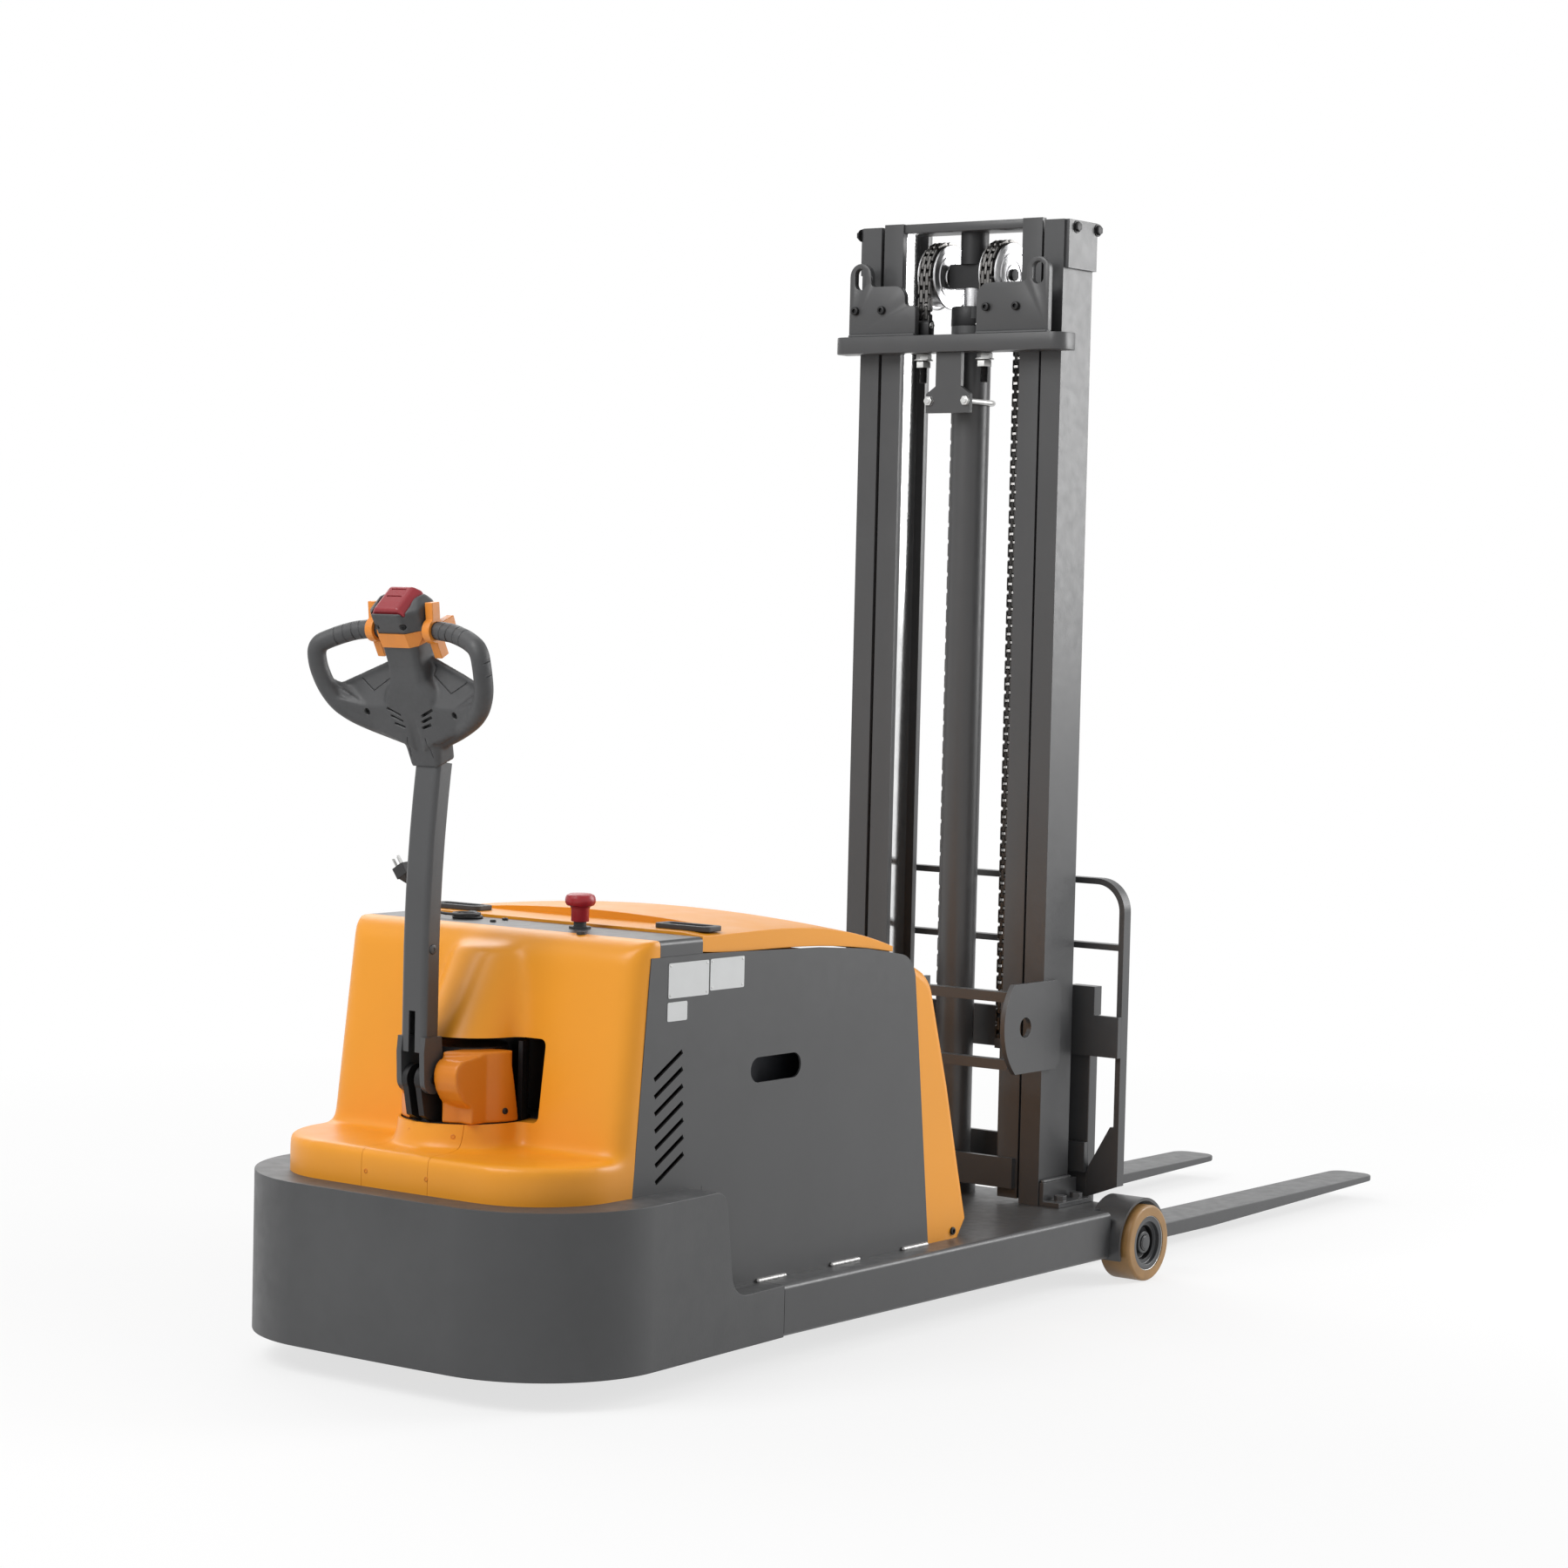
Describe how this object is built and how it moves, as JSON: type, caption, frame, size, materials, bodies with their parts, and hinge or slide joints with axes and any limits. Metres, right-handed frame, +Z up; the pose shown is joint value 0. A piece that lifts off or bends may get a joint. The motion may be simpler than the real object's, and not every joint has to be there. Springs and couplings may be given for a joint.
{
  "type": "electric stacker",
  "caption": "Walk-behind counterbalanced electric stacker: forks on a chain-lifted telescopic mast, steered drive wheel with tilting tiller, battery body under yellow covers.",
  "frame": {"origin": "centre of the bounding box at floor level", "axes": "+X forward to the fork tips, +Y to the truck's left, +Z up"},
  "size_m": [3.0529, 0.849, 2.085],
  "materials": {
    "frame_grey": "satin dark grey powder coat",
    "cover_yellow": "gloss yellow-orange gel coat",
    "black_plastic": "fine-grained black moulding",
    "cord_rubber": "smooth black sheath",
    "orange_plastic": "semi-gloss orange moulding",
    "red_plastic": "semi-gloss red moulding",
    "dark_steel": "blackened steel",
    "bright_steel": "turned bright steel",
    "cast_aluminium": "ribbed housing",
    "wheel_hub": "dark grey stepped disc",
    "amber_tyre": "amber polyurethane"
  },
  "bodies": {
    "chassis": {"base_frame": "frame_grey", "counterweight": "frame_grey", "drive_mount": "frame_grey", "side_plate_left": "frame_grey", "side_plate_right": "frame_grey", "rear_cover": "cover_yellow", "access_panel": "cover_yellow", "dash_strip": "frame_grey", "front_cover": "cover_yellow", "outer_mast_left": "frame_grey", "outer_mast_right": "frame_grey", "mast_cross_plate": "frame_grey", "mast_tie_frame": "frame_grey", "mast_foot_brackets": "frame_grey", "chain_anchors": "dark_steel", "chain_rear_runs": "dark_steel", "lift_cylinder": "frame_grey", "cylinder_clamp": "frame_grey", "batteries": "black_plastic", "power_unit": "dark_steel", "motor_controller": "cast_aluminium", "charger": "cast_aluminium", "estop_base": "black_plastic", "cord_grommet": "black_plastic", "cord_coil": "cord_rubber", "cord_lead": "cord_rubber", "charger_plug": "cord_rubber"},
    "steering": {"turret_drum": "dark_steel", "tiller_bracket": "dark_steel", "tiller_shrouds": "cover_yellow", "drive_unit": "dark_steel"},
    "drive_wheel": {"drive_wheel": "amber_tyre"},
    "gas_strut": {"gas_strut": "dark_steel"},
    "tiller": {"tiller_arm": "frame_grey", "head_shell": "black_plastic", "head_band": "orange_plastic"},
    "thumb_paddles": {"thumb_paddles": "orange_plastic"},
    "belly_button": {"belly_button": "red_plastic"},
    "lift_button": {"lift_button": "black_plastic"},
    "lower_button": {"lower_button": "black_plastic"},
    "horn_button": {"horn_button": "black_plastic"},
    "estop_knob": {"estop_knob": "red_plastic"},
    "key_switch": {"key_switch": "black_plastic"},
    "lid": {"battery_cover": "cover_yellow", "cover_pulls": "black_plastic"},
    "front_wheel_left": {"front_hub_left": "wheel_hub", "front_tyre_left": "amber_tyre"},
    "front_wheel_right": {"front_hub_right": "wheel_hub", "front_tyre_right": "amber_tyre"},
    "inner_mast": {"inner_mast": "frame_grey", "crosshead": "dark_steel", "piston_rod": "bright_steel", "chain_wraps": "dark_steel"},
    "sheave_left": {"sheave_left": "bright_steel"},
    "sheave_right": {"sheave_right": "bright_steel"},
    "carriage": {"carriage": "frame_grey", "backrest": "frame_grey", "fork_left": "frame_grey", "fork_right": "frame_grey", "chain_front_runs": "dark_steel"}
  },
  "joints": [
    {"name": "steer_yaw", "type": "hinge", "parent": "chassis", "child": "steering", "pos_m": [-1.2935, 0, 0.3], "axis": [0, 0, 1], "range_deg": [-60, 60]},
    {"name": "drive_spin", "type": "hinge", "parent": "steering", "child": "drive_wheel", "pos_m": [-1.2935, 0, 0.115], "axis": [0, 1, 0], "continuous": true},
    {"name": "tiller_tilt", "type": "hinge", "parent": "steering", "child": "tiller", "pos_m": [-1.4095, 0, 0.51], "axis": [0, -1, 0], "range_deg": [0, 75], "stiffness_Nm_per_rad": 25, "springref_deg": -34.38},
    {"name": "strut_swing", "type": "hinge", "parent": "steering", "child": "gas_strut", "pos_m": [-1.3935, 0, 0.47], "axis": [0, -1, 0], "range_deg": [0, 60]},
    {"name": "paddle_turn", "type": "hinge", "parent": "tiller", "child": "thumb_paddles", "pos_m": [-1.46769, 0, 1.2598], "axis": [0, 1, 0], "range_deg": [-20, 20], "stiffness_Nm_per_rad": 0.8},
    {"name": "belly_press", "type": "slide", "parent": "tiller", "child": "belly_button", "axis": [0.6947, 0, -0.7193], "range_m": [0, 0.006], "stiffness_N_per_m": 1500, "springref_m": -0.002},
    {"name": "lift_press", "type": "slide", "parent": "tiller", "child": "lift_button", "axis": [-0.9397, 0, -0.342], "range_m": [0, 0.003], "stiffness_N_per_m": 600, "springref_m": -0.002},
    {"name": "lower_press", "type": "slide", "parent": "tiller", "child": "lower_button", "axis": [-0.9397, 0, -0.342], "range_m": [0, 0.003], "stiffness_N_per_m": 600, "springref_m": -0.002},
    {"name": "horn_press", "type": "slide", "parent": "tiller", "child": "horn_button", "axis": [-0.9397, 0, -0.342], "range_m": [0, 0.003], "stiffness_N_per_m": 600, "springref_m": -0.002},
    {"name": "estop_press", "type": "slide", "parent": "chassis", "child": "estop_knob", "axis": [0, 0, -1], "range_m": [0, 0.008]},
    {"name": "key_turn", "type": "hinge", "parent": "chassis", "child": "key_switch", "pos_m": [-1.2005, -0.17, 0.752], "axis": [0, 0, 1], "range_deg": [0, 90]},
    {"name": "cover_lift", "type": "hinge", "parent": "chassis", "child": "lid", "pos_m": [-0.5095, 0, 0.692], "axis": [0, 1, 0], "range_deg": [0, 75]},
    {"name": "wheel_left_spin", "type": "hinge", "parent": "chassis", "child": "front_wheel_left", "pos_m": [0.2585, 0.3895, 0.075], "axis": [0, 1, 0], "continuous": true},
    {"name": "wheel_right_spin", "type": "hinge", "parent": "chassis", "child": "front_wheel_right", "pos_m": [0.2585, -0.3895, 0.075], "axis": [0, 1, 0], "continuous": true},
    {"name": "mast_lift", "type": "slide", "parent": "chassis", "child": "inner_mast", "axis": [0, 0, 1], "range_m": [0, 1.4], "deforming": ["chain_rear_runs"]},
    {"name": "carriage_lift", "type": "slide", "parent": "inner_mast", "child": "carriage", "axis": [0, 0, 1], "range_m": [0, 1.4], "deforming": ["chain_front_runs"]},
    {"name": "sheave_left_spin", "type": "hinge", "parent": "inner_mast", "child": "sheave_left", "pos_m": [0.1845, 0.072, 1.979], "axis": [0, 1, 0], "continuous": true},
    {"name": "sheave_right_spin", "type": "hinge", "parent": "inner_mast", "child": "sheave_right", "pos_m": [0.1845, -0.072, 1.979], "axis": [0, 1, 0], "continuous": true}
  ],
  "couplings": [
    {"joint": "strut_swing", "follows": "tiller_tilt", "ratio": 0.788},
    {"joint": "carriage_lift", "follows": "mast_lift", "ratio": 1},
    {"joint": "sheave_left_spin", "follows": "mast_lift", "rad_per_m": -15.625},
    {"joint": "sheave_right_spin", "follows": "mast_lift", "rad_per_m": -15.625}
  ]
}
